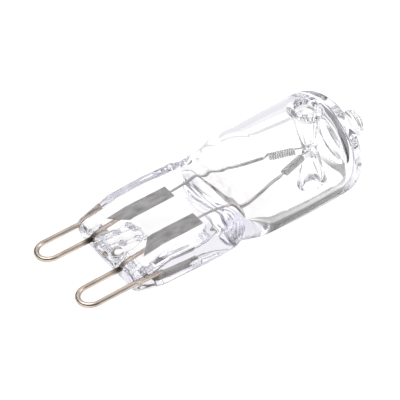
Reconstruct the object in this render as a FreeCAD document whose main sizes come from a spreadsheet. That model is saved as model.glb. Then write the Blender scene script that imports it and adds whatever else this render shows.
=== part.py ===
import FreeCAD, Part
import math
import os
import Sketcher

doc = FreeCAD.newDocument("capsule_bulb")

# Driving dimensions in millimetres and degrees, each held once in the sheet.
# The bulb's own axis is X, from the pins to the exhaust tip, with zero where the pins' stated reach starts.
# Y runs across the two pins and Z through the thickness of the base.
DIMENSIONS = [
    ("base_length", 12.0),
    ("base_half_width", 6.65),
    ("base_half_thickness", 2.45),
    ("base_bevel", 0.85),
    ("base_middle", 8.2),
    ("base_middle_half_width", 6.88),
    ("end_reach", 0.6),
    ("end_slope_length", 3.8),
    ("end_half_width", 6.3),
    ("end_half_thickness", 1.1),
    ("end_bevel", 0.7),
    ("shoulder_end", 14.0),
    ("shoulder_half_width", 5.6),
    ("shoulder_half_thickness", 2.2),
    ("seam_mouth_half_width", 2.5),
    ("seam_mouth_half_height", 0.45),
    ("seam_depth", 4.4),
    ("seam_end_half_width", 1.6),
    ("seam_end_half_height", 0.3),
    ("neck_foot", 9.8),
    ("neck_foot_width", 6.2),
    ("neck_foot_height", 2.3),
    ("neck_waist_width", 6.5),
    ("neck_waist_height", 3.1),
    ("neck_middle", 14.4),
    ("neck_middle_width", 6.45),
    ("neck_middle_height", 4.85),
    ("neck_upper", 16.6),
    ("neck_upper_width", 6.38),
    ("neck_upper_height", 6.0),
    ("bulb_radius", 6.35),
    ("swell_radius", 95),
    ("round_start", 19.2),
    ("dome_end", 31.7),
    ("dome_crown", 0.9),
    ("dome_corner", 2.9),
    ("tip_offset", 0.4),
    ("tip_root", 1.1),
    ("tip_radius", 1.6),
    ("tip_step", 0.25),
    ("tip_step_length", 0.55),
    ("tip_length", 2.1),
    ("tip_edge", 0.55),
    ("wall", 0.95),
    ("dome_wall", 1.5),
    ("inner_corner", 2.1),
    ("cavity_start", 14.2),
    ("cavity_half_width", 4.9),
    ("cavity_half_height", 0.5),
    ("cavity_middle", 15.6),
    ("cavity_middle_width", 5.15),
    ("cavity_middle_height", 2.9),
    ("cavity_upper", 17.2),
    ("cavity_upper_height", 4.75),
    ("dent_station", 26.6),
    ("dent_mouth", 1.25),
    ("dent_point", 0.4),
    ("dent_wall", 0.75),
    ("dent_skirt", 0.5),
    ("dent_bite", 0.1),
    ("metal_level", 0.3),
    ("pin_pitch", 9.0),
    ("pin_wire", 0.58),
    ("pin_leg_spacing", 2.95),
    ("pin_reach", 6.7),
    ("pin_outer_depth", 2.9),
    ("pin_inner_depth", 4.9),
    ("foil_spacing", 5.7),
    ("foil_width", 2.1),
    ("foil_thickness", 0.06),
    ("foil_start", 2.3),
    ("foil_cut", 1.9),
    ("foil_end", 9.8),
    ("lead_wire", 0.36),
    ("lead_start", 8.9),
    ("lead_spacing", 5.6),
    ("lead_bend_start", 14.8),
    ("lead_bend_radius", 12),
    ("lead_lean", 9.5),
    ("lead_rise", 4.6),
    ("weld_sink", 0.4),
    ("filament_wire", 0.2),
    ("filament_clearance", 0.01),
    ("coil_radius", 0.36),
    ("coil_turns", 12),
    ("coil_lead_in", 0.3),
    ("coil_end_gap", 1.3),
    ("coil_end_half_spacing", 0.6),
    ("filament_tail", 0.3),
    ("filament_bead", 1.25),
    ("apex_half_width", 0.3),
]

sheet = doc.addObject("Spreadsheet::Sheet", "sizes")
for row, (alias, value) in enumerate(DIMENSIONS, start=1):
    sheet.set("A%d" % row, alias)
    sheet.set("B%d" % row, str(value))
    sheet.setAlias("B%d" % row, alias)
doc.recompute()

# Length by which a cutting tool runs past the face that it opens.
MARGIN = 1.0


def size(expression):
    return float(sheet.evalExpression(expression.replace("sizes.", "")))


def plane_of(body, role):
    for item in body.Origin.OriginFeatures:
        if item.Role == role:
            return item
    raise ValueError(role)


def sketch_on(body, role, name, offset=None):
    sketch = body.newObject("Sketcher::SketchObject", name)
    sketch.AttachmentSupport = [(plane_of(body, role), "")]
    sketch.MapMode = "FlatFace"
    if offset is not None:
        sketch.setExpression("AttachmentOffset.Base.z", offset)
    return sketch


def pin_down(sketch, label, geometry, end, across, up):
    for axis, expression, line in (("DistanceX", across, -2), ("DistanceY", up, -1)):
        if expression == "0":
            sketch.addConstraint(Sketcher.Constraint("PointOnObject", geometry, end, line))
            continue
        index = sketch.addConstraint(Sketcher.Constraint(axis, -1, 1, geometry, end, size(expression)))
        name = "%s_%s" % (label, axis)
        sketch.renameConstraint(index, name)
        sketch.setExpression("Constraints.%s" % name, expression)


def arc_middle(start, end, radius):
    # A positive radius bulges to the left of the way from start to end.
    chord = end.sub(start)
    half = chord.Length / 2
    left = FreeCAD.Vector(-chord.y, chord.x, 0).normalize()
    rise = abs(radius) - math.sqrt(radius * radius - half * half)
    return start.add(end).multiply(0.5).add(left.multiply(math.copysign(rise, radius)))


def outline(sketch, label, corners, closed=True):
    # Each corner is (across, up) or (across, up, radius).
    # The radius belongs to the edge that leaves the corner.
    points = [FreeCAD.Vector(size(corner[0]), size(corner[1]), 0) for corner in corners]
    last = len(corners) if closed else len(corners) - 1
    edges = []
    for index in range(last):
        start = points[index]
        end = points[(index + 1) % len(points)]
        corner = corners[index]
        if len(corner) == 2:
            geometry = sketch.addGeometry(Part.LineSegment(start, end))
            edges.append((geometry, 1, 2))
            continue
        middle = arc_middle(start, end, size(corner[2]))
        geometry = sketch.addGeometry(Part.Arc(start, middle, end))
        gaps = [sketch.getPoint(geometry, vertex).distanceToPoint(start) for vertex in (1, 2)]
        edges.append((geometry, 1, 2) if gaps[0] < gaps[1] else (geometry, 2, 1))
    for index, (geometry, first, second) in enumerate(edges):
        following = edges[(index + 1) % len(edges)]
        if closed or index + 1 < len(edges):
            meeting = Sketcher.Constraint("Coincident", geometry, second, following[0], following[1])
            sketch.addConstraint(meeting)
        pin_down(sketch, "%s_%d" % (label, index), geometry, first, corners[index][0], corners[index][1])
        if len(corners[index]) > 2:
            radius = corners[index][2].lstrip("-")
            place = sketch.addConstraint(Sketcher.Constraint("Radius", geometry, size(radius)))
            sketch.renameConstraint(place, "%s_%d_radius" % (label, index))
            sketch.setExpression("Constraints.%s_%d_radius" % (label, index), radius)
    if not closed:
        geometry, first, second = edges[-1]
        pin_down(sketch, "%s_%d" % (label, last), geometry, second, corners[-1][0], corners[-1][1])


def ring(sketch, label, across, up, radius):
    centre = FreeCAD.Vector(size(across), size(up), 0)
    geometry = sketch.addGeometry(Part.Circle(centre, FreeCAD.Vector(0, 0, 1), size(radius)))
    pin_down(sketch, label, geometry, 3, across, up)
    place = sketch.addConstraint(Sketcher.Constraint("Radius", geometry, size(radius)))
    sketch.renameConstraint(place, label + "_radius")
    sketch.setExpression("Constraints.%s_radius" % label, radius)


def oval(sketch, label, half_width, half_height):
    geometry = sketch.addGeometry(Part.Ellipse(FreeCAD.Vector(0, 0, 0), size(half_width), size(half_height)))
    sketch.exposeInternalGeometry(geometry)
    sketch.addConstraint(Sketcher.Constraint("Coincident", geometry, 3, -1, 1))
    sketch.addConstraint(Sketcher.Constraint("Horizontal", geometry + 1))
    for step, name, expression in ((1, "width", half_width), (2, "height", half_height)):
        span = "2 * (%s)" % expression
        place = sketch.addConstraint(Sketcher.Constraint("Distance", geometry + step, size(span)))
        sketch.renameConstraint(place, "%s_%s" % (label, name))
        sketch.setExpression("Constraints.%s_%s" % (label, name), span)


def feature(body, kind, name, profile):
    item = body.newObject("PartDesign::" + kind, name)
    item.Profile = profile
    return item


envelope = doc.addObject("PartDesign::Body", "envelope")

# Pressed base: a bar with bevelled long edges whose faces all draw together at both ends.
def bar_section(name, station, half_width, half_thickness, bevel):
    sketch = sketch_on(envelope, "YZ_Plane", name, station)
    flat = "(%s - %s)" % (half_width, bevel)
    side = "(%s - %s)" % (half_thickness, bevel)
    outline(sketch, name, [
        (half_width, "-" + side),
        (half_width, side),
        (flat, half_thickness),
        ("-" + flat, half_thickness),
        ("-" + half_width, side),
        ("-" + half_width, "-" + side),
        ("-" + flat, "-" + half_thickness),
        (flat, "-" + half_thickness),
    ])
    return sketch


end_sizes = ("sizes.end_half_width", "sizes.end_half_thickness", "sizes.end_bevel")
base_sizes = ("sizes.base_half_width", "sizes.base_half_thickness", "sizes.base_bevel")
middle_sizes = ("sizes.base_middle_half_width", "sizes.base_half_thickness", "sizes.base_bevel")
shoulder_sizes = ("sizes.shoulder_half_width", "sizes.shoulder_half_thickness", "sizes.end_bevel")
bar_sections = []
for name, station, half_width, half_thickness, bevel in (
    ("pin_end", "-sizes.end_reach") + end_sizes,
    ("slope_end", "sizes.end_slope_length") + base_sizes,
    ("bar_middle", "sizes.base_middle") + middle_sizes,
    ("bulb_end", "sizes.base_length") + base_sizes,
    ("shoulder_end", "sizes.shoulder_end") + shoulder_sizes,
):
    bar_sections.append(bar_section(name, station, half_width, half_thickness, bevel))
bar = feature(envelope, "AdditiveLoft", "base_bar", bar_sections[0])
bar.Sections = bar_sections[1:]
bar.Ruled = True
doc.recompute()

# Open seam at the pin end, where the pressed glass has not closed up between the two pins.
seam_sections = []
for name, station, half_width, half_height in (
    ("seam_mouth", "-sizes.end_reach", "sizes.seam_mouth_half_width", "sizes.seam_mouth_half_height"),
    ("seam_end", "sizes.seam_depth", "sizes.seam_end_half_width", "sizes.seam_end_half_height"),
):
    sketch = sketch_on(envelope, "YZ_Plane", name, station)
    outline(sketch, name, [
        ("-" + half_width, "-" + half_height),
        (half_width, "-" + half_height),
        (half_width, half_height),
        ("-" + half_width, half_height),
    ])
    seam_sections.append(sketch)
seam = feature(envelope, "SubtractiveLoft", "seam", seam_sections[0])
seam.Sections = seam_sections[1:]
seam.Ruled = True
doc.recompute()

# Neck: the round tube closing down to the flat base.
neck_sections = []
for name, station, half_width, half_height in (
    ("neck_foot_oval", "sizes.neck_foot", "sizes.neck_foot_width", "sizes.neck_foot_height"),
    ("neck_waist_oval", "sizes.base_length", "sizes.neck_waist_width", "sizes.neck_waist_height"),
    ("neck_middle_oval", "sizes.neck_middle", "sizes.neck_middle_width", "sizes.neck_middle_height"),
    ("neck_upper_oval", "sizes.neck_upper", "sizes.neck_upper_width", "sizes.neck_upper_height"),
):
    sketch = sketch_on(envelope, "YZ_Plane", name, station)
    oval(sketch, name, half_width, half_height)
    neck_sections.append(sketch)
sketch = sketch_on(envelope, "YZ_Plane", "neck_top", "sizes.round_start")
ring(sketch, "neck_top", "0", "0", "sizes.bulb_radius")
neck_sections.append(sketch)
neck = feature(envelope, "AdditiveLoft", "neck", neck_sections[0])
neck.Sections = neck_sections[1:]
doc.recompute()

# Blown bulb with its rounded end.
bulb_sketch = sketch_on(envelope, "XZ_Plane", "bulb_profile")
outline(bulb_sketch, "bulb", [
    ("sizes.round_start", "0"),
    ("sizes.round_start", "sizes.bulb_radius", "sizes.swell_radius"),
    ("sizes.dome_end - sizes.dome_crown - sizes.dome_corner", "sizes.bulb_radius", "sizes.dome_corner"),
    ("sizes.dome_end - sizes.dome_crown", "sizes.bulb_radius - sizes.dome_corner"),
    ("sizes.dome_end", "sizes.tip_radius"),
    ("sizes.dome_end", "0"),
])
bulb = feature(envelope, "Revolution", "bulb", bulb_sketch)
bulb.ReferenceAxis = (bulb_sketch, ["H_Axis"])
bulb.Angle = 360
doc.recompute()

# Stepped exhaust tip, melted off a little to one side of the axis.
tip_sketch = sketch_on(envelope, "XZ_Plane", "tip_profile", "-sizes.tip_offset")
outline(tip_sketch, "tip", [
    ("sizes.dome_end - sizes.tip_root", "0"),
    ("sizes.dome_end - sizes.tip_root", "sizes.tip_radius + sizes.tip_step"),
    ("sizes.dome_end + sizes.tip_step_length", "sizes.tip_radius + sizes.tip_step"),
    ("sizes.dome_end + sizes.tip_step_length", "sizes.tip_radius"),
    ("sizes.dome_end + sizes.tip_length - sizes.tip_edge", "sizes.tip_radius", "sizes.tip_edge"),
    ("sizes.dome_end + sizes.tip_length", "sizes.tip_radius - sizes.tip_edge"),
    ("sizes.dome_end + sizes.tip_length", "0"),
])
tip = feature(envelope, "Revolution", "tip", tip_sketch)
tip.ReferenceAxis = (tip_sketch, ["H_Axis"])
tip.Angle = 360
doc.recompute()

# Sealed cavity, from its wedge-shaped floor in the neck to its rounded end.
bore = "sizes.bulb_radius - sizes.wall"
cavity_sections = []
for name, station, half_width, half_height in (
    ("cavity_floor", "sizes.cavity_start", "sizes.cavity_half_width", "sizes.cavity_half_height"),
    ("cavity_middle_oval", "sizes.cavity_middle", "sizes.cavity_middle_width", "sizes.cavity_middle_height"),
    ("cavity_upper_oval", "sizes.cavity_upper", bore, "sizes.cavity_upper_height"),
):
    sketch = sketch_on(envelope, "YZ_Plane", name, station)
    oval(sketch, name, half_width, half_height)
    cavity_sections.append(sketch)
sketch = sketch_on(envelope, "YZ_Plane", "cavity_top", "sizes.round_start")
ring(sketch, "cavity_top", "0", "0", bore)
cavity_sections.append(sketch)
cavity_neck = feature(envelope, "SubtractiveLoft", "cavity_neck", cavity_sections[0])
cavity_neck.Sections = cavity_sections[1:]
doc.recompute()
cavity_sketch = sketch_on(envelope, "XZ_Plane", "cavity_profile")
cavity_shoulder = "sizes.dome_end - sizes.dome_wall - sizes.dome_crown"
outline(cavity_sketch, "cavity", [
    ("sizes.round_start", "0"),
    ("sizes.round_start", bore, "sizes.swell_radius"),
    ("%s - sizes.inner_corner" % cavity_shoulder, bore, "sizes.inner_corner"),
    (cavity_shoulder, "%s - sizes.inner_corner" % bore),
    ("sizes.dome_end - sizes.dome_wall", "0"),
])
cavity = feature(envelope, "Groove", "cavity", cavity_sketch)
cavity.ReferenceAxis = (cavity_sketch, ["H_Axis"])
cavity.Angle = 360
doc.recompute()

# Two dents pressed in from the broad sides, their glass points meeting on the filament's bend.
grip = "(sizes.filament_wire / 2 * sizes.filament_bead + sizes.filament_clearance)"
dent_slope = "((sizes.dent_mouth - sizes.dent_point) / (sizes.bulb_radius - sizes.dent_wall - %s))" % grip
wall_depth = "(sizes.bulb_radius - sizes.wall - sizes.dent_bite)"
dent_root = "(sizes.dent_point + sizes.dent_skirt)"
dent_wall = envelope.newObject("PartDesign::AdditiveCone", "dent_wall")
dent_wall.AttachmentSupport = [(plane_of(envelope, "XY_Plane"), "")]
dent_wall.MapMode = "FlatFace"
dent_wall.setExpression("AttachmentOffset.Base.x", "sizes.dent_station")
dent_wall.setExpression("AttachmentOffset.Base.z", grip)
dent_wall.setExpression("Height", "%s - %s" % (wall_depth, grip))
dent_wall.setExpression("Radius1", dent_root)
dent_wall.setExpression("Radius2", "%s + %s * (%s - %s)" % (dent_root, dent_slope, wall_depth, grip))
doc.recompute()
other_wall = envelope.newObject("PartDesign::Mirrored", "other_dent_wall")
other_wall.Originals = [dent_wall]
other_wall.MirrorPlane = (plane_of(envelope, "XY_Plane"), [""])
envelope.Tip = other_wall
doc.recompute()
dent = envelope.newObject("PartDesign::SubtractiveCone", "dent")
dent.AttachmentSupport = [(plane_of(envelope, "XY_Plane"), "")]
dent.MapMode = "FlatFace"
dent.setExpression("AttachmentOffset.Base.x", "sizes.dent_station")
dent.setExpression("AttachmentOffset.Base.z", "%s + sizes.dent_wall" % grip)
dent.setExpression("Height", "sizes.bulb_radius + %g - sizes.dent_wall - %s" % (MARGIN, grip))
dent.setExpression("Radius1", "sizes.dent_point")
dent.setExpression("Radius2", "sizes.dent_mouth + %g * %s" % (MARGIN, dent_slope))
doc.recompute()
other_dent = envelope.newObject("PartDesign::Mirrored", "other_dent")
other_dent.Originals = [dent]
other_dent.MirrorPlane = (plane_of(envelope, "XY_Plane"), [""])
envelope.Tip = other_dent
doc.recompute()


# The metal lies a little above the middle of the pressed glass.
foil_underside = "sizes.metal_level - sizes.foil_thickness / 2"


def wire_body(name, diameter, height, path):
    # A round wire whose bends all lie in one level, with its first end face square to X.
    body = doc.addObject("PartDesign::Body", name)
    spine = sketch_on(body, "XY_Plane", name + "_path", height)
    outline(spine, "path", path, closed=False)
    end = sketch_on(body, "YZ_Plane", name + "_end", path[0][0])
    ring(end, "wire", path[0][1], height, "%s / 2" % diameter)
    pipe = feature(body, "AdditivePipe", name + "_wire", end)
    pipe.Spine = spine
    return body


def weld_flat(body, start, end, middle):
    # The stretch of a wire that is welded up against a foil has a flat top.
    half = "sizes.foil_width / 2"
    sketch = sketch_on(body, "XY_Plane", body.Name + "_weld", foil_underside)
    outline(sketch, "weld", [
        (start, "%s - %s" % (middle, half)),
        (end, "%s - %s" % (middle, half)),
        (end, "%s + %s" % (middle, half)),
        (start, "%s + %s" % (middle, half)),
    ])
    flat = feature(body, "Pocket", body.Name + "_flat", sketch)
    flat.Reversed = True
    flat.setExpression("Length", "sizes.pin_wire")


def weld_height(diameter):
    return "(%s - (0.5 - sizes.weld_sink / 2) * %s)" % (foil_underside, diameter)


metals = []
pin_level = weld_height("sizes.pin_wire")
lead_level = weld_height("sizes.lead_wire")
for side, sign in (("near", "-"), ("far", "")):
    inner = "%s(sizes.pin_pitch / 2 - sizes.pin_leg_spacing / 2)" % sign
    outer = "%s(sizes.pin_pitch / 2 + sizes.pin_leg_spacing / 2)" % sign
    turn = "-(sizes.pin_reach - sizes.pin_wire / 2 - sizes.pin_leg_spacing / 2)"
    bend = "%ssizes.pin_leg_spacing / 2" % sign
    # Contact pin: one wire bent to a loop, its inner leg on the foil and its outer leg ending in the glass.
    pin = wire_body("pin_loop_" + side, "sizes.pin_wire", pin_level, [
        ("sizes.pin_inner_depth", inner),
        (turn, inner, bend),
        (turn, outer),
        ("sizes.pin_outer_depth", outer),
    ])
    weld_flat(pin, "sizes.foil_start", "sizes.pin_inner_depth + sizes.pin_wire", inner)

    # Sealing foil over the ends of the pin and the lead, cut off slantwise at the pin end.
    foil_inner = "%s(sizes.foil_spacing / 2 - sizes.foil_width / 2)" % sign
    foil_outer = "%s(sizes.foil_spacing / 2 + sizes.foil_width / 2)" % sign
    foil = doc.addObject("PartDesign::Body", "foil_" + side)
    strip = sketch_on(foil, "XY_Plane", "foil_%s_outline" % side, "sizes.metal_level")
    outline(strip, "foil", [
        ("sizes.foil_start", foil_outer),
        ("sizes.foil_end", foil_outer),
        ("sizes.foil_end", foil_inner),
        ("sizes.foil_start + sizes.foil_cut", foil_inner),
    ])
    sheet_metal = feature(foil, "Pad", "foil_%s_strip" % side, strip)
    sheet_metal.SideType = "Symmetric"
    sheet_metal.setExpression("Length", "sizes.foil_thickness")

    # Lead from the foil into the bulb, leaning towards the axis above the cavity's floor.
    place = "%ssizes.lead_spacing / 2" % sign
    sweep_x = "sizes.lead_bend_radius * sin(sizes.lead_lean)"
    sweep_y = "sizes.lead_bend_radius * (1 - cos(sizes.lead_lean))"
    run_x = "sizes.lead_rise * cos(sizes.lead_lean)"
    run_y = "sizes.lead_rise * sin(sizes.lead_lean)"
    turn_end = ("sizes.lead_bend_start + %s" % sweep_x, "%s(sizes.lead_spacing / 2 - %s)" % (sign, sweep_y))
    lead_tip = ("sizes.lead_bend_start + %s + %s" % (sweep_x, run_x),
                "sizes.lead_spacing / 2 - %s - %s" % (sweep_y, run_y))
    lead = wire_body("lead_wire_" + side, "sizes.lead_wire", lead_level, [
        ("sizes.lead_start", place),
        ("sizes.lead_bend_start", place, "%ssizes.lead_bend_radius" % ("-" if sign == "-" else "")),
        turn_end,
        (lead_tip[0], "%s(%s)" % (sign, lead_tip[1])),
    ])
    weld_flat(lead, "sizes.lead_start - sizes.lead_wire", "sizes.foil_end", place)
    metals += [pin, foil, lead]
doc.recompute()

# Filament: a coil along each arm of the V, joined by a plain bend that the dents hold.
# Each corner of the plain wire has a small bead, as drawn wire has where it is bent sharply.
wire_radius = size("sizes.filament_wire / 2")
bead_radius = wire_radius * size("sizes.filament_bead")
LEVEL = FreeCAD.Vector(0, 0, 1)


def rod(start, end):
    return Part.makeCylinder(wire_radius, end.distanceToPoint(start), start, end.sub(start))


def bead(point):
    return Part.makeSphere(bead_radius, point)


def coil_arm(sign):
    lean = math.radians(size("sizes.lead_lean"))
    tip = FreeCAD.Vector(size(lead_tip[0]), sign * size(lead_tip[1]), size(lead_level))
    knee = tip.add(FreeCAD.Vector(math.cos(lean), -sign * math.sin(lean), 0) * size("sizes.filament_tail"))
    coil_end = size("sizes.dent_station - sizes.coil_end_gap")
    end = FreeCAD.Vector(coil_end, sign * size("sizes.coil_end_half_spacing"), 0)
    span = end.sub(knee)
    lead_in = size("sizes.coil_lead_in")
    length = span.Length - 2 * lead_in
    along = FreeCAD.Vector(span).normalize()
    path = Part.makeHelix(length / size("sizes.coil_turns"), length, size("sizes.coil_radius"))
    first = path.Edges[0].valueAt(path.Edges[0].FirstParameter)
    heading = path.Edges[0].tangentAt(path.Edges[0].FirstParameter)
    coil = path.makePipeShell([Part.Wire(Part.makeCircle(wire_radius, first, heading))], True, True)
    last = path.Edges[-1].valueAt(path.Edges[-1].LastParameter)
    aside = LEVEL.cross(along).normalize()
    facing = FreeCAD.Rotation(aside, along.cross(aside), along, "ZXY")
    seat = FreeCAD.Placement(knee.add(along * lead_in), facing)
    coil.Placement = seat
    first = seat.multVec(first)
    last = seat.multVec(last)
    bend = FreeCAD.Vector(size("sizes.dent_station"), sign * size("sizes.apex_half_width"), 0)
    arm = rod(tip, knee)
    for solid in (bead(knee), rod(knee, first), bead(first), coil, bead(last), rod(last, bend), bead(bend)):
        arm = arm.fuse(solid)
    return arm, bend


near_arm, near_bend = coil_arm(-1)
far_arm, far_bend = coil_arm(1)
filament = doc.addObject("Part::Feature", "filament")
filament.Shape = near_arm.fuse(rod(near_bend, far_bend)).fuse(far_arm)

# The bulb lies on one broad side: it touches the table with the belly of the bulb and the ends of the pins.
TILT_LIMIT = 40.0
TILT_STEPS = 40
FACET = 0.01


def lowest(points, tilt):
    return min(point.x * math.sin(tilt) + point.z * math.cos(tilt) for point in points)


whole = Part.makeCompound([item.Shape.copy() for item in [envelope] + metals])
skin = whole.tessellate(FACET)[0]
foot = [point for point in skin if point.x < size("sizes.base_length")]
belly = [point for point in skin if point.x > size("sizes.base_length")]
flat, steep = 0.0, math.radians(TILT_LIMIT)
for step in range(TILT_STEPS):
    tilt = (flat + steep) / 2
    if lowest(foot, tilt) > lowest(belly, tilt):
        flat = tilt
    else:
        steep = tilt
turn = FreeCAD.Rotation(FreeCAD.Vector(0, 1, 0), -math.degrees(tilt))
rest = FreeCAD.Placement(FreeCAD.Vector(0, 0, 0), turn)
whole.Placement = rest
reach = whole.optimalBoundingBox(False, False)
rest.Base = FreeCAD.Vector(-(reach.XMin + reach.XMax) / 2, -(reach.YMin + reach.YMax) / 2, -reach.ZMin)
for item in [envelope, filament] + metals:
    item.Placement = rest

# The glass is pressed hot round the metal, so it is hollow just where the metal lies.
core = doc.addObject("Part::MultiFuse", "sealed_metal")
core.Shapes = metals
glass = doc.addObject("Part::Cut", "glass_envelope")
glass.Base = envelope
glass.Tool = core
doc.recompute()

sub_parts = [glass, filament] + metals
for item in doc.Objects:
    if "Invalid" in item.State or "Error" in item.State:
        raise RuntimeError("%s is %s" % (item.Name, item.State))
for item in sub_parts:
    item.Label = item.Name
    if item.Shape.isNull() or not item.Shape.isValid() or len(item.Shape.Solids) != 1:
        raise RuntimeError("%s has no single valid solid" % item.Name)

os.makedirs("parts", exist_ok=True)
for item in sub_parts:
    item.Shape.exportStep("parts/%s.step" % item.Label)
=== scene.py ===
"""Looks of a clear halogen capsule bulb that lies on a white floor."""
import math

import bpy
import numpy as np
from mathutils import Matrix, Vector


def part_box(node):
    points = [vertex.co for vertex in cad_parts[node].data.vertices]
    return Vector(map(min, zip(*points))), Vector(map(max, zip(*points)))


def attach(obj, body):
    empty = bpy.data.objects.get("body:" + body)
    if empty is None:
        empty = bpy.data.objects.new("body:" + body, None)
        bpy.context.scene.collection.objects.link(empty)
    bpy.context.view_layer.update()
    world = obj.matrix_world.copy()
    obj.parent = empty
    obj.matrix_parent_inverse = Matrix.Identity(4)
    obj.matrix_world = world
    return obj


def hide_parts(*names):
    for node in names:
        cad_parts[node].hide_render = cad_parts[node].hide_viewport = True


MM = 0.001
TINY = 1e-9
WHITE = (1, 1, 1, 1)

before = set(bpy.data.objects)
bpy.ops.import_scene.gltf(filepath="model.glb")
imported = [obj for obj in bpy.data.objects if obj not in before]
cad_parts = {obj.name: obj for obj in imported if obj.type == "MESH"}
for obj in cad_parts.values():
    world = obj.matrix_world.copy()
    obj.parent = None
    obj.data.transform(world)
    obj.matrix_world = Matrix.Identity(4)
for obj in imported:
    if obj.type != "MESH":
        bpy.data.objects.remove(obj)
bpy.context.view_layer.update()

# Sizes of the glass in millimetres, along the bulb's own axis from the pins to the exhaust tip.
BASE_LENGTH = 12.0
BASE_HALF = (6.65, 2.45)
BASE_BEVEL = 0.85
BEVEL_RUN = 1.25
BASE_MIDDLE = 8.2
BASE_MIDDLE_WIDTH = 6.88
BASE_EDGE = 0.3
SHOULDER_END = 14.0
SHOULDER_HALF = (5.6, 2.2)
SHOULDER_BEVEL = 0.7
END_REACH = 0.6
END_SLOPE_LENGTH = 3.8
END_HALF = (6.3, 1.1)
END_BELOW = 1.6
END_BELOW_LENGTH = 2.6
END_BEVEL = 0.7
END_EDGE = 0.7
SEAM_DEPTH = 4.4
SEAM_MOUTH_HALF = (2.5, 0.45)
SEAM_END_HALF = (1.6, 0.3)
SEAM_EDGE = 0.2
ROUND_START = 19.2
BULB_RADIUS = 6.35
SWELL_RADIUS = 95.0
NECK_STATIONS = (9.8, 12.0, 14.4, 16.6, ROUND_START)
NECK_WIDTHS = (6.2, 6.5, 6.45, 6.38, BULB_RADIUS)
NECK_HEIGHTS = (2.3, 3.1, 4.85, 6.0, BULB_RADIUS)
NECK_BLEND = 0.5
DOME_END = 31.7
DOME_CROWN = 0.9
DOME_CORNER = 2.9
TIP_OFFSET = 0.4
TIP_RADIUS = 1.6
TIP_STEP = 0.25
TIP_STEP_LENGTH = 0.55
TIP_LENGTH = 2.1
TIP_EDGE = 0.55
TIP_BLEND = 0.5
WALL = 0.95
DOME_WALL = 1.5
INNER_CORNER = 2.1
CAVITY_STATIONS = (14.2, 15.6, 17.2, ROUND_START)
CAVITY_WIDTHS = (4.9, 5.15, BULB_RADIUS - WALL, BULB_RADIUS - WALL)
CAVITY_HEIGHTS = (0.5, 2.9, 4.75, BULB_RADIUS - WALL)
CAVITY_EDGE = 0.5
DENT_STATION = 26.6
DENT_MOUTH = 1.25
DENT_POINT = 0.4
DENT_WALL = 0.75
DENT_SKIRT = 0.5
DENT_FLARE = 0.5
DENT_GRIP = 0.135
FOIL_LENGTH = 7.5
FOIL_START = 2.3
FOIL_THICKNESS = 0.06
FOIL_LEVEL = 0.3

# Grid that the glass is meshed on, and how its corners are then drawn onto the surface.
GRID_STEP = 0.2
SLOPE_NUDGE = 0.004
LEAST_STEEPNESS = 0.25
PROJECTION_ROUNDS = 4


def rest_pose():
    """Turn the bulb's own axes into the row's, read from the box of one flat sealing foil."""
    low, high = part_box("foil_far")
    span_x = (high[0] - low[0]) / MM
    span_z = (high[2] - low[2]) / MM
    scale = FOIL_LENGTH ** 2 - FOIL_THICKNESS ** 2
    cosine = (FOIL_LENGTH * span_x - FOIL_THICKNESS * span_z) / scale
    sine = (FOIL_LENGTH * span_z - FOIL_THICKNESS * span_x) / scale
    turn = Matrix.Rotation(-math.atan2(sine, cosine), 4, "Y")
    foil_middle = turn @ Vector((FOIL_START + FOIL_LENGTH / 2, 0, FOIL_LEVEL)) * MM
    shift_x = (low[0] + high[0]) / 2 - foil_middle.x
    shift_z = (low[2] + high[2]) / 2 - foil_middle.z
    return Matrix.Translation((shift_x, 0, shift_z)) @ turn


def soft_max(first, second, reach):
    """Larger of two distances, rounded where they meet."""
    blend = np.maximum(reach - np.abs(first - second), 0) / reach
    return np.maximum(first, second) + blend * blend * reach / 4


def soft_min(first, second, reach):
    """Smaller of two distances, rounded where they meet."""
    return -soft_max(-first, -second, reach)


def rounded_end(radial, along, radius, end, edge):
    """Distance to a round bar with a rounded end."""
    out_radial = radial - (radius - edge)
    out_along = along - (end - edge)
    outside = np.hypot(np.maximum(out_radial, 0), np.maximum(out_along, 0))
    return outside + np.minimum(np.maximum(out_radial, out_along), 0) - edge


def eased(stations, values, along):
    """Values between stations, with a smooth slope through each of them."""
    stations = np.asarray(stations)
    values = np.asarray(values)
    slopes = np.gradient(values, stations)
    slopes[-1] = 0
    place = np.clip(along, stations[0], stations[-1])
    index = np.clip(np.searchsorted(stations, place) - 1, 0, len(stations) - 2)
    gap = stations[index + 1] - stations[index]
    part = (place - stations[index]) / gap
    rest = 1 - part
    start = values[index] * (1 + 2 * part) * rest ** 2 + slopes[index] * gap * part * rest ** 2
    end = values[index + 1] * part * part * (3 - 2 * part) - slopes[index + 1] * gap * part * part * rest
    return start + end


def oval_tube(y, z, widths, heights):
    """Distance to a tube of elliptic section."""
    reach = np.sqrt((y / widths) ** 2 + (z / heights) ** 2)
    slope = np.sqrt((y / widths ** 2) ** 2 + (z / heights ** 2) ** 2) / np.maximum(reach, TINY)
    return (reach - 1) / np.maximum(slope, 1 / np.maximum(widths, heights))


def swell(x):
    """Small growth of the bulb's radius between the neck and the dome."""
    chord = DOME_END - DOME_CROWN - DOME_CORNER - ROUND_START
    middle = ROUND_START + chord / 2
    part = np.clip((x - middle) / (chord / 2), -1, 1)
    return chord ** 2 / (8 * SWELL_RADIUS) * (1 - part * part)


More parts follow.
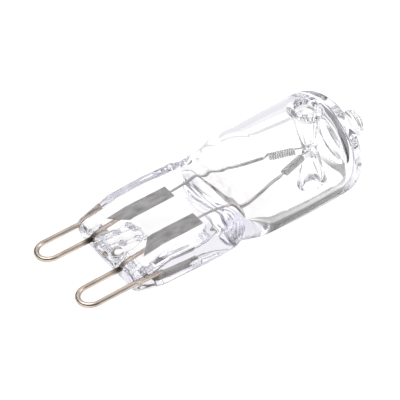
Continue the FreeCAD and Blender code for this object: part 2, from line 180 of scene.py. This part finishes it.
def base_bar(x, y, z):
    """Distance to the flat pressed base with its bevelled rails."""
    stations = (-END_REACH, END_SLOPE_LENGTH, BASE_MIDDLE, BASE_LENGTH, SHOULDER_END)
    widths = (END_HALF[0], BASE_HALF[0], BASE_MIDDLE_WIDTH, BASE_HALF[0], SHOULDER_HALF[0])
    thicknesses = (END_HALF[1], BASE_HALF[1], BASE_HALF[1], BASE_HALF[1], SHOULDER_HALF[1])
    bevels = (END_BEVEL, BASE_BEVEL, BASE_BEVEL, BASE_BEVEL, SHOULDER_BEVEL)
    width = np.interp(x, stations, widths)
    above = np.interp(x, stations, thicknesses)
    below = np.interp(x, (-END_REACH, END_BELOW_LENGTH), (END_BELOW, BASE_HALF[1]))
    thickness = np.where((z > 0) | (x > END_SLOPE_LENGTH), above, below)
    bevel = np.interp(x, stations, bevels)
    side = np.abs(y) - width
    face = np.abs(z) - thickness
    corner = (side + BEVEL_RUN * (face + bevel)) / math.hypot(1, BEVEL_RUN)
    section = soft_max(soft_max(side, face, BASE_EDGE), corner, BASE_EDGE)
    bar = soft_max(section, -END_REACH - x, END_EDGE)
    return soft_max(bar, x - SHOULDER_END, BASE_EDGE)


def seam(x, y, z):
    """Distance to the narrowing gap in the middle of the pin end."""
    part = np.clip((x + END_REACH) / (SEAM_DEPTH + END_REACH), 0, 1)
    width = SEAM_MOUTH_HALF[0] + (SEAM_END_HALF[0] - SEAM_MOUTH_HALF[0]) * part
    height = SEAM_MOUTH_HALF[1] + (SEAM_END_HALF[1] - SEAM_MOUTH_HALF[1]) * part
    gap = soft_max(np.abs(y) - width, np.abs(z) - height, SEAM_EDGE)
    return soft_max(gap, x - SEAM_DEPTH, SEAM_EDGE)


def bulb_outside(x, y, z):
    """Distance to the neck, the round bulb and the dome, without dents."""
    radial = np.hypot(y, z)
    widths = eased(NECK_STATIONS, NECK_WIDTHS, x) + swell(x)
    heights = eased(NECK_STATIONS, NECK_HEIGHTS, x) + swell(x)
    tube = soft_max(oval_tube(y, z, widths, heights), NECK_STATIONS[0] - x, BASE_EDGE)
    crown = DOME_CROWN * np.clip(radial / (BULB_RADIUS - DOME_CORNER), 0, 1) ** 2
    dome = rounded_end(radial, x, BULB_RADIUS + swell(x), DOME_END - crown, DOME_CORNER)
    return np.where(x > ROUND_START, dome, tube)


def exhaust_tip(x, y, z):
    """Distance to the stepped tip on the dome."""
    radial = np.hypot(y - TIP_OFFSET, z)
    step_end = DOME_END + TIP_STEP_LENGTH
    step = rounded_end(radial, x, TIP_RADIUS + TIP_STEP, step_end, TIP_STEP)
    tip = rounded_end(radial, x, TIP_RADIUS, DOME_END + TIP_LENGTH, TIP_EDGE)
    return np.maximum(soft_min(step, tip, TIP_STEP), DOME_END - DOME_WALL - x)


def dents(x, y, z, point, radius, edge):
    """Distance to two cones that narrow towards the axis, one from each broad side."""
    depth = np.abs(z) - point
    radial = np.hypot(x - DENT_STATION, y)
    slope = (DENT_MOUTH - DENT_POINT) / (BULB_RADIUS - DENT_WALL - DENT_GRIP)
    cone = (radial - radius - slope * depth) / math.hypot(1, slope)
    return soft_max(cone, -depth, edge)


def cavity(x, y, z):
    """Distance to the sealed hollow, which leaves glass round the dents."""
    radial = np.hypot(y, z)
    widths = eased(CAVITY_STATIONS, CAVITY_WIDTHS, x) + swell(x)
    heights = eased(CAVITY_STATIONS, CAVITY_HEIGHTS, x) + swell(x)
    tube = soft_max(oval_tube(y, z, widths, heights), CAVITY_STATIONS[0] - x, CAVITY_EDGE)
    bore = BULB_RADIUS - WALL
    crown = DOME_CROWN * np.clip(radial / (bore - INNER_CORNER), 0, 1) ** 2
    dome = rounded_end(radial, x, bore + swell(x), DOME_END - DOME_WALL - crown, INNER_CORNER)
    hollow = np.where(x > ROUND_START, dome, tube)
    skirt = dents(x, y, z, DENT_GRIP, DENT_POINT + DENT_SKIRT, CAVITY_EDGE)
    return soft_max(hollow, -skirt, CAVITY_EDGE)


# Waves that pressing leaves in the soft glass, strongest where the base runs out into the neck. Heights and
# places are in millimetres, turns in radians per millimetre along the bulb, across it and up.
NECK_WAVE = 0.06
NECK_WAVE_LENGTH = 1.3
NECK_WAVE_PLACE = 12.9
NECK_WAVE_REACH = 1.5
NECK_WAVE_WIDTH = 3.6
RING_BEND = 0.8
RING_BEND_TURNS = (0, 0.7, 0.3)
PRESS_WAVE = 0.015
PRESS_TURNS = (1.7, 0.9, 0.5)
PRESS_CROSS_TURNS = (1.1, -1.6, 0)
PRESS_CROSS_START = 1.2
SEAM_WAVE = 0.16
SEAM_TURNS = (2.3, 1.2, 0)
SEAM_CROSS_TURNS = (-1.1, 1.9, 1.5)
SEAM_CROSS_START = 0.8


def wave(x, y, z, turns, start):
    return np.sin(turns[0] * x + turns[1] * y + turns[2] * z + start)


def press_waves(x, y, z):
    """Small rise and fall of the pressed faces."""
    fade = np.exp(-((x - NECK_WAVE_PLACE) / NECK_WAVE_REACH) ** 2 - (y / NECK_WAVE_WIDTH) ** 2)
    bend = RING_BEND * wave(x, y, z, RING_BEND_TURNS, 0)
    rings = NECK_WAVE * fade * np.sin(2 * math.pi * x / NECK_WAVE_LENGTH + bend)
    pressed = np.clip((BASE_LENGTH - x) / NECK_WAVE_REACH, 0, 1)
    crossed = wave(x, y, z, PRESS_TURNS, 0) * wave(x, y, z, PRESS_CROSS_TURNS, PRESS_CROSS_START)
    return rings + PRESS_WAVE * pressed * crossed


def seam_waves(x, y, z):
    """Uneven walls of the gap in the pin end."""
    crossed = wave(x, y, z, SEAM_TURNS, 0) * wave(x, y, z, SEAM_CROSS_TURNS, SEAM_CROSS_START)
    return SEAM_WAVE * crossed


def glass(points):
    """Distance to the surface of the glass, negative inside it."""
    x, y, z = points[..., 0], points[..., 1], points[..., 2]
    body = soft_min(base_bar(x, y, z), bulb_outside(x, y, z), NECK_BLEND)
    body = soft_min(body, exhaust_tip(x, y, z), TIP_BLEND) - press_waves(x, y, z)
    holes = dents(x, y, z, DENT_GRIP + DENT_WALL, DENT_POINT, DENT_POINT)
    body = soft_max(body, -holes, DENT_FLARE)
    body = soft_max(body, -seam(x, y, z) - seam_waves(x, y, z), SEAM_EDGE)
    return np.maximum(body, -cavity(x, y, z))


def slope_of(field, points):
    """Gradient of a field by central differences."""
    slope = np.empty_like(points)
    for axis in range(3):
        offset = np.zeros(3)
        offset[axis] = SLOPE_NUDGE
        slope[:, axis] = (field(points + offset) - field(points - offset)) / (2 * SLOPE_NUDGE)
    return slope


def surface_mesh(field, low, high):
    """Quads on the zero level of a field, one corner in each grid cell that the surface crosses."""
    axes = [np.arange(math.floor(first / GRID_STEP), math.ceil(last / GRID_STEP) + 1) * GRID_STEP
            for first, last in zip(low, high)]
    samples = np.stack(np.meshgrid(*axes, indexing="ij"), axis=-1)
    values = field(samples)
    inside = values < 0
    cell_shape = tuple(len(axis) - 1 for axis in axes)
    total = np.zeros(cell_shape + (3,))
    hits = np.zeros(cell_shape)
    crossings = []
    for axis in range(3):
        first = [slice(None)] * 3
        second = [slice(None)] * 3
        first[axis] = slice(None, -1)
        second[axis] = slice(1, None)
        start, end = values[tuple(first)], values[tuple(second)]
        crossed = inside[tuple(first)] != inside[tuple(second)]
        share = np.where(crossed, start / np.where(crossed, start - end, 1), 0)
        point = samples[tuple(first)].copy()
        point[..., axis] += share * GRID_STEP
        others = [other for other in range(3) if other != axis]
        for steps in ((0, 0), (0, 1), (1, 0), (1, 1)):
            window = [slice(None)] * 3
            for other, step in zip(others, steps):
                window[other] = slice(step, cell_shape[other] + step)
            total += np.where(crossed[tuple(window)][..., None], point[tuple(window)], 0)
            hits += crossed[tuple(window)]
        crossings.append((axis, others, crossed, inside[tuple(first)]))
    active = hits > 0
    index = np.full(cell_shape, -1)
    index[active] = np.arange(active.sum())
    vertices = total[active] / hits[active][:, None]
    quads = []
    for axis, others, crossed, solid_first in crossings:
        places = np.argwhere(crossed)
        inner = np.all([(places[:, other] > 0) & (places[:, other] < cell_shape[other])
                        for other in others], axis=0)
        places = places[inner]
        corners = []
        for steps in ((1, 1), (0, 1), (0, 0), (1, 0)):
            cell = places.copy()
            cell[:, others] -= steps
            corners.append(index[tuple(cell.T)])
        faces = np.stack(corners, axis=1)
        flip = solid_first[tuple(places.T)] == (axis == 1)
        faces[flip] = faces[flip][:, ::-1]
        quads.append(faces)
    return vertices, np.concatenate(quads)


def glass_piece(pose):
    """Glass as one smooth mesh in the place of the CAD envelope."""
    margin = 2 * GRID_STEP
    side = BASE_MIDDLE_WIDTH + margin
    low = (-END_REACH - margin, -side, -side)
    high = (DOME_END + TIP_LENGTH + margin, side, side)
    points, faces = surface_mesh(glass, low, high)
    for _ in range(PROJECTION_ROUNDS):
        slope = slope_of(glass, points)
        steep = np.maximum((slope ** 2).sum(axis=1), LEAST_STEEPNESS)
        move = (glass(points) / steep)[:, None] * slope
        points = points - np.clip(move, -GRID_STEP / 2, GRID_STEP / 2)
    normals = slope_of(glass, points)
    normals /= np.maximum(np.linalg.norm(normals, axis=1), TINY)[:, None]
    turn = np.array(pose.to_3x3())
    shift = np.array(pose.translation)
    mesh = bpy.data.meshes.new("glass_shell")
    mesh.from_pydata((points * MM) @ turn.T + shift, [], faces.tolist())
    mesh.polygons.foreach_set("use_smooth", [True] * len(mesh.polygons))
    mesh.normals_split_custom_set_from_vertices(normals @ turn.T)
    piece = bpy.data.objects.new("glass_shell", mesh)
    bpy.context.collection.objects.link(piece)
    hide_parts("glass_envelope")
    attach(piece, "root")
    return piece


def new_material(name):
    material = bpy.data.materials.new(name)
    material.use_nodes = True
    return material, material.node_tree.nodes, material.node_tree.links


# Clear quartz with the faint lilac of thick glass. The density of the tint is per metre.
QUARTZ_IOR = 1.458
TINT_COLOUR = (0.80, 0.777, 0.93)
TINT_DENSITY = 13.0


def glass_material():
    material, nodes, links = new_material("clear_quartz")
    shader = nodes["Principled BSDF"]
    shader.inputs["Base Color"].default_value = WHITE
    shader.inputs["Roughness"].default_value = 0.0
    shader.inputs["IOR"].default_value = QUARTZ_IOR
    shader.inputs["Transmission Weight"].default_value = 1.0
    tint = nodes.new("ShaderNodeVolumeAbsorption")
    tint.inputs["Color"].default_value = (*TINT_COLOUR, 1)
    tint.inputs["Density"].default_value = TINT_DENSITY
    links.new(tint.outputs["Volume"], nodes["Material Output"].inputs["Volume"])
    return material


# Marks of drawing and rolling on the metals: places per metre along the bulb, across it and up, the share
# by which the colour falls and rises in a mark, and the height of the marks in metres.
WIRE_MARKS = ((250, 2500, 2500), 0.22, 0.000004)
FOIL_MARKS = ((700, 1500, 1500), 0.30, 0.00002)
COIL_MARKS = ((1500, 1500, 1500), 0.20, 0.000004)
MARK_DETAIL = 3.0
MARK_DARK_BELOW = 0.3
MARK_LIGHT_ABOVE = 0.7

# Painted shade: dull dark colour of the metals where the surface turns away.
PAINTED_EDGE_SHADE = (0.12, 0.10, 0.09)

PIN_COLOUR = (0.66, 0.565, 0.485)
PIN_ROUGHNESS = 0.2
FOIL_COLOUR = (0.39, 0.381, 0.371)
FOIL_ROUGHNESS = 0.4
LEAD_COLOUR = (0.60, 0.58, 0.56)
LEAD_ROUGHNESS = 0.35
COIL_COLOUR = (0.88, 0.87, 0.87)
COIL_ROUGHNESS = 0.5


def metal_material(name, colour, roughness, marks):
    """Metal whose colour and surface vary in fine marks."""
    spacing, change, height = marks
    material, nodes, links = new_material(name)
    shader = nodes["Principled BSDF"]
    shader.inputs["Metallic"].default_value = 1.0
    shader.inputs["Roughness"].default_value = roughness
    # Painted shade on the metal where its surface turns away.
    shader.inputs["Specular Tint"].default_value = (*PAINTED_EDGE_SHADE, 1)
    place = nodes.new("ShaderNodeTexCoord")
    stretch = nodes.new("ShaderNodeMapping")
    stretch.inputs["Scale"].default_value = spacing
    noise = nodes.new("ShaderNodeTexNoise")
    noise.inputs["Scale"].default_value = 1.0
    noise.inputs["Detail"].default_value = MARK_DETAIL
    ramp = nodes.new("ShaderNodeValToRGB")
    dark, light = ramp.color_ramp.elements
    dark.position = MARK_DARK_BELOW
    dark.color = (*(part * (1 - change) for part in colour), 1)
    light.position = MARK_LIGHT_ABOVE
    light.color = (*(min(part * (1 + change), 1) for part in colour), 1)
    bump = nodes.new("ShaderNodeBump")
    bump.inputs["Distance"].default_value = height
    links.new(place.outputs["Object"], stretch.inputs["Vector"])
    links.new(stretch.outputs["Vector"], noise.inputs["Vector"])
    links.new(noise.outputs["Fac"], ramp.inputs["Fac"])
    links.new(ramp.outputs["Color"], shader.inputs["Base Color"])
    links.new(noise.outputs["Fac"], bump.inputs["Height"])
    links.new(bump.outputs["Normal"], shader.inputs["Normal"])
    return material


# Darker wire where the inner legs of the pins enter the glass, in metres. The place has no signs, so it
# holds for both pins. The wire is darkest up to the first reach and plain from the second.
SEAL_PLACE = (0.01384, 0.002735, 0.0019)
SEAL_REACH = (0.0005, 0.0013)
SEAL_COLOUR = (0.07, 0.055, 0.04)

# Sockets of a colour mix, whose names aren't unique.
MIX_SHARE = 0
MIX_FIRST = 6
MIX_SECOND = 7
MIX_RESULT = 2


def darken_at_seal(material):
    nodes, links = material.node_tree.nodes, material.node_tree.links
    base = nodes["Principled BSDF"].inputs["Base Color"]
    plain = base.links[0].from_socket
    place = nodes.new("ShaderNodeTexCoord")
    folded = nodes.new("ShaderNodeVectorMath")
    folded.operation = "ABSOLUTE"
    away = nodes.new("ShaderNodeVectorMath")
    away.operation = "DISTANCE"
    away.inputs[1].default_value = SEAL_PLACE
    share = nodes.new("ShaderNodeMapRange")
    share.inputs["From Min"].default_value, share.inputs["From Max"].default_value = SEAL_REACH
    blend = nodes.new("ShaderNodeMix")
    blend.data_type = "RGBA"
    blend.inputs[MIX_FIRST].default_value = (*SEAL_COLOUR, 1)
    links.new(place.outputs["Object"], folded.inputs[0])
    links.new(folded.outputs["Vector"], away.inputs[0])
    links.new(away.outputs["Value"], share.inputs["Value"])
    links.new(share.outputs["Result"], blend.inputs[MIX_SHARE])
    links.new(plain, blend.inputs[MIX_SECOND])
    links.new(blend.outputs[MIX_RESULT], base)


def dress(node, material):
    mesh = bpy.data.objects[node].data
    mesh.materials.clear()
    mesh.materials.append(material)


shell = glass_piece(rest_pose())
shell.data.materials.append(glass_material())

pin_metal = metal_material("pin_wire", PIN_COLOUR, PIN_ROUGHNESS, WIRE_MARKS)
darken_at_seal(pin_metal)
foil_metal = metal_material("sealing_foil", FOIL_COLOUR, FOIL_ROUGHNESS, FOIL_MARKS)
lead_metal = metal_material("lead_wire", LEAD_COLOUR, LEAD_ROUGHNESS, WIRE_MARKS)
coil_metal = metal_material("tungsten_coil", COIL_COLOUR, COIL_ROUGHNESS, COIL_MARKS)
for side in ("near", "far"):
    dress("pin_loop_" + side, pin_metal)
    dress("foil_" + side, foil_metal)
    dress("lead_wire_" + side, lead_metal)
dress("filament", coil_metal)

# White floor that stays white to the camera and in the glass, and keeps the bulb's shadow.
FLOOR_HALF = 0.6
FLOOR_COLOUR = (0.40, 0.40, 0.39)
FLOOR_ROUGHNESS = 0.9
FLOOR_GLOW = 0.84


def seen_rays(nodes, links, strength):
    """Strength for rays that the camera, the metal and the glass see by, and none for the rest."""
    path = nodes.new("ShaderNodeLightPath")
    seen = path.outputs["Is Camera Ray"]
    for name in ("Is Glossy Ray", "Is Transmission Ray"):
        joined = nodes.new("ShaderNodeMath")
        joined.operation = "MAXIMUM"
        links.new(seen, joined.inputs[0])
        links.new(path.outputs[name], joined.inputs[1])
        seen = joined.outputs[0]
    scaled = nodes.new("ShaderNodeMath")
    scaled.operation = "MULTIPLY"
    scaled.inputs[1].default_value = strength
    links.new(seen, scaled.inputs[0])
    return scaled.outputs[0]


def floor():
    mesh = bpy.data.meshes.new("floor")
    corners = [(-FLOOR_HALF, -FLOOR_HALF, 0), (FLOOR_HALF, -FLOOR_HALF, 0),
               (FLOOR_HALF, FLOOR_HALF, 0), (-FLOOR_HALF, FLOOR_HALF, 0)]
    mesh.from_pydata(corners, [], [(0, 1, 2, 3)])
    plane = bpy.data.objects.new("floor", mesh)
    bpy.context.collection.objects.link(plane)
    material, nodes, links = new_material("white_floor")
    shader = nodes["Principled BSDF"]
    shader.inputs["Base Color"].default_value = (*FLOOR_COLOUR, 1)
    shader.inputs["Roughness"].default_value = FLOOR_ROUGHNESS
    shader.inputs["Specular IOR Level"].default_value = 0.0
    shader.inputs["Emission Color"].default_value = WHITE
    links.new(seen_rays(nodes, links, FLOOR_GLOW), shader.inputs["Emission Strength"])
    mesh.materials.append(material)


floor()

# Soft shades on the floor under the near wall and dome and behind the bulb, seen only through the glass and
# in the metal. Each knot gives a place on the near edge and one on the far edge, in metres, and how dark the
# shade is there. The fades are the shares of the width over which the near and the far edge run out.
WALL_SHADE = (
    ((-0.0010, -0.0068), (-0.0010, -0.0017), 0.0),
    ((0.0035, -0.0068), (0.0035, -0.0016), 0.88),
    ((0.0150, -0.0068), (0.0150, -0.0016), 0.88),
    ((0.0170, -0.0070), (0.0165, -0.0012), 0.88),
    ((0.0210, -0.0058), (0.0205, -0.0008), 0.85),
    ((0.0252, -0.0030), (0.0220, 0.0002), 0.8),
    ((0.0272, 0.0018), (0.0230, 0.0030), 0.8),
    ((0.0277, 0.0060), (0.0232, 0.0060), 0.7),
    ((0.0275, 0.0105), (0.0230, 0.0095), 0.0),
)
WALL_FADE = (0.36, 0.09)
WALL_SHADE_COLOUR = (0.12, 0.11, 0.10)
FAR_SHADE = (
    ((-0.015, 0.0200), (-0.015, 0.0240), 0.0),
    ((-0.010, 0.0200), (-0.010, 0.0240), 0.5),
    ((0.030, 0.0200), (0.030, 0.0240), 0.5),
    ((0.040, 0.0200), (0.040, 0.0240), 0.0),
)
FAR_FADE = (0.3, 0.3)
FAR_SHADE_COLOUR = (0.30, 0.29, 0.34)
SHADE_LIFT = 0.00002
SHADE_ROWS = 40
SHADE_COLUMNS = 80


def hidden_card(name, mesh, colour):
    """Card that the camera doesn't see and that shades nothing."""
    card = bpy.data.objects.new(name, mesh)
    bpy.context.collection.objects.link(card)
    card.visible_camera = False
    card.visible_diffuse = False
    card.visible_shadow = False
    material, nodes, links = new_material(name)
    shader = nodes["Principled BSDF"]
    shader.inputs["Base Color"].default_value = (*colour, 1)
    shader.inputs["Roughness"].default_value = 1.0
    shader.inputs["Specular IOR Level"].default_value = 0.0
    mesh.materials.append(material)
    return shader, nodes, links


def contact_shade(name, knots, fade, colour):
    """Shade on the floor whose edges fade out, wider on one side than on the other."""
    near, far, cover = (np.array(part) for part in zip(*knots))
    marks = np.linspace(0, 1, len(knots))
    along = np.linspace(0, 1, SHADE_COLUMNS)
    across = np.linspace(0, 1, SHADE_ROWS)
    near_edge = np.stack([np.interp(along, marks, near[:, axis]) for axis in (0, 1)], axis=-1)
    far_edge = np.stack([np.interp(along, marks, far[:, axis]) for axis in (0, 1)], axis=-1)
    places = near_edge[:, None] * (1 - across[:, None]) + far_edge[:, None] * across[:, None]
    edges = np.clip(np.minimum(across / fade[0], (1 - across) / fade[1]), 0, 1)
    covers = np.interp(along, marks, cover)[:, None] * edges
    corners = np.concatenate([places.reshape(-1, 2), np.full((covers.size, 1), SHADE_LIFT)], axis=1)
    index = np.arange(covers.size).reshape(covers.shape)
    quads = np.stack([index[:-1, :-1], index[1:, :-1], index[1:, 1:], index[:-1, 1:]], axis=-1)
    mesh = bpy.data.meshes.new(name)
    mesh.from_pydata(corners.tolist(), [], quads.reshape(-1, 4).tolist())
    mesh.attributes.new("cover", "FLOAT", "POINT").data.foreach_set("value", covers.ravel())
    shader, nodes, links = hidden_card(name, mesh, colour)
    share = nodes.new("ShaderNodeAttribute")
    share.attribute_name = "cover"
    links.new(share.outputs["Fac"], shader.inputs["Alpha"])


contact_shade("wall_shade", WALL_SHADE, WALL_FADE, WALL_SHADE_COLOUR)
contact_shade("far_shade", FAR_SHADE, FAR_FADE, FAR_SHADE_COLOUR)

# Low cards round the bulb, which only show in the glass and the metal: dark on the left and right, pale
# between them, grey beyond the exhaust tip, and on the far side black with a pale glow of its own. Arcs are
# in degrees.
FLAG_RADIUS = 0.045
FLAG_HEIGHT = 0.022
FLAG_STEPS = 48
DARK_FLAG = (0.08, 0.08, 0.085)
FLAGS = (
    ("left_flag", (115, 260), DARK_FLAG),
    ("pale_flag", (260, 300), (0.80, 0.79, 0.86)),
    ("right_flag", (300, 356), DARK_FLAG),
    ("grey_flag", (356, 395), (0.46, 0.45, 0.48)),
)
FAR_FLAG = ("far_flag", (35, 115), (0, 0, 0))
FAR_GLOW = (0.83, 0.82, 0.87)


def edge_flag(name, arc, colour):
    """Upright card along an arc, with its shader for further settings."""
    mesh = bpy.data.meshes.new(name)
    corners = []
    for angle in np.radians(np.linspace(*arc, FLAG_STEPS + 1)):
        for height in (0, FLAG_HEIGHT):
            corners.append((FLAG_RADIUS * math.cos(angle), FLAG_RADIUS * math.sin(angle), height))
    sides = [(2 * step, 2 * step + 2, 2 * step + 3, 2 * step + 1) for step in range(FLAG_STEPS)]
    mesh.from_pydata(corners, [], sides)
    return hidden_card(name, mesh, colour)[0]


for flag in FLAGS:
    edge_flag(*flag)
far_shader = edge_flag(*FAR_FLAG)
far_shader.inputs["Emission Color"].default_value = (*FAR_GLOW, 1)
far_shader.inputs["Emission Strength"].default_value = 1.0

# White tent with a grey opening on the side of the viewer, given by the cosine from the opening's middle.
TENT_LIGHT = 0.95
OPENING_DIRECTION = (-0.51, -0.66, 0.55)
OPENING_GREYS = (
    (0.0, (0.97, 0.965, 0.99)),
    (0.60, (0.97, 0.97, 0.99)),
    (0.80, (0.40, 0.40, 0.40)),
    (1.0, (0.30, 0.30, 0.30)),
)


def room():
    """Surroundings that light the bulb, with a plain white backdrop for the camera."""
    world = bpy.data.worlds.new("room")
    bpy.context.scene.world = world
    world.use_nodes = True
    nodes, links = world.node_tree.nodes, world.node_tree.links
    background = nodes["Background"]
    place = nodes.new("ShaderNodeTexCoord")
    facing = nodes.new("ShaderNodeVectorMath")
    facing.operation = "DOT_PRODUCT"
    facing.inputs[1].default_value = OPENING_DIRECTION
    ramp = nodes.new("ShaderNodeValToRGB")
    links.new(place.outputs["Generated"], facing.inputs[0])
    links.new(facing.outputs["Value"], ramp.inputs["Fac"])
    links.new(ramp.outputs["Color"], background.inputs["Color"])
    stops = ramp.color_ramp.elements
    for share, _ in OPENING_GREYS[1:-1]:
        stops.new(share)
    for stop, (_, colour) in zip(stops, OPENING_GREYS):
        stop.color = (*colour, 1)
    background.inputs["Strength"].default_value = TENT_LIGHT
    backdrop = nodes.new("ShaderNodeBackground")
    backdrop.inputs["Color"].default_value = WHITE
    path = nodes.new("ShaderNodeLightPath")
    shown = nodes.new("ShaderNodeMixShader")
    links.new(path.outputs["Is Camera Ray"], shown.inputs["Fac"])
    links.new(background.outputs["Background"], shown.inputs[1])
    links.new(backdrop.outputs["Background"], shown.inputs[2])
    links.new(shown.outputs["Shader"], nodes["World Output"].inputs["Surface"])


room()

# Lamps that face the bulb: place and size in metres, and power in watts.
BULB_MIDDLE = Vector((0, 0, 0.007))
KEY_LIGHT = ((-0.20, 0.10, 0.35), (0.25, 0.25), 0.45)
FILL_LIGHT = ((0.25, -0.15, 0.30), (0.2, 0.2), 0.2)


def softbox(name, place, size, power):
    lamp = bpy.data.lights.new(name, "AREA")
    lamp.shape = "RECTANGLE"
    lamp.size, lamp.size_y = size
    lamp.energy = power
    box = bpy.data.objects.new(name, lamp)
    box.location = place
    box.rotation_euler = (BULB_MIDDLE - Vector(place)).to_track_quat("-Z", "Y").to_euler()
    bpy.context.collection.objects.link(box)


softbox("key_softbox", *KEY_LIGHT)
softbox("fill_softbox", *FILL_LIGHT)

# Camera at the photograph's viewing angle; the image is square.
VIEW_AZIMUTH = math.radians(37.5)
VIEW_ELEVATION = math.radians(33.2)
VIEW_ROLL = math.radians(7.1)
VIEW_DISTANCE = 0.200
NEAR_CLIP = 0.01
IMAGE_SIZE = 400
PIXELS_PER_METRE = 9068
MIDDLE_PIXEL = (216.0, 183.9)
SENSOR = 36.0


def camera():
    """Camera that looks past the bulb's middle, so that it falls on its pixel of the image."""
    forward = Vector((math.sin(VIEW_AZIMUTH) * math.cos(VIEW_ELEVATION),
                      math.cos(VIEW_AZIMUTH) * math.cos(VIEW_ELEVATION), -math.sin(VIEW_ELEVATION)))
    level = Vector((math.cos(VIEW_AZIMUTH), -math.sin(VIEW_AZIMUTH), 0))
    upright = level.cross(forward)
    right = level * math.cos(VIEW_ROLL) + upright * math.sin(VIEW_ROLL)
    up = upright * math.cos(VIEW_ROLL) - level * math.sin(VIEW_ROLL)
    place = BULB_MIDDLE - forward * VIEW_DISTANCE
    across = (IMAGE_SIZE / 2 - MIDDLE_PIXEL[0]) / PIXELS_PER_METRE
    above = (MIDDLE_PIXEL[1] - IMAGE_SIZE / 2) / PIXELS_PER_METRE
    aim = (BULB_MIDDLE + right * across + up * above - place).normalized()
    right = aim.cross(up).normalized()
    up = right.cross(aim)
    data = bpy.data.cameras.new("camera")
    data.sensor_width = SENSOR
    data.lens = PIXELS_PER_METRE * VIEW_DISTANCE / IMAGE_SIZE * SENSOR
    data.clip_start = NEAR_CLIP
    eye = bpy.data.objects.new("camera", data)
    eye.matrix_world = Matrix.Translation(place) @ Matrix((right, up, -aim)).transposed().to_4x4()
    bpy.context.collection.objects.link(eye)
    bpy.context.scene.camera = eye


camera()
bpy.context.scene.view_settings.view_transform = "Standard"

# Light that runs inside thick glass needs many bounces before it comes out.
GLASS_BOUNCES = 40
bpy.context.scene.cycles.max_bounces = GLASS_BOUNCES
bpy.context.scene.cycles.transmission_bounces = GLASS_BOUNCES
bpy.context.scene.cycles.glossy_bounces = GLASS_BOUNCES
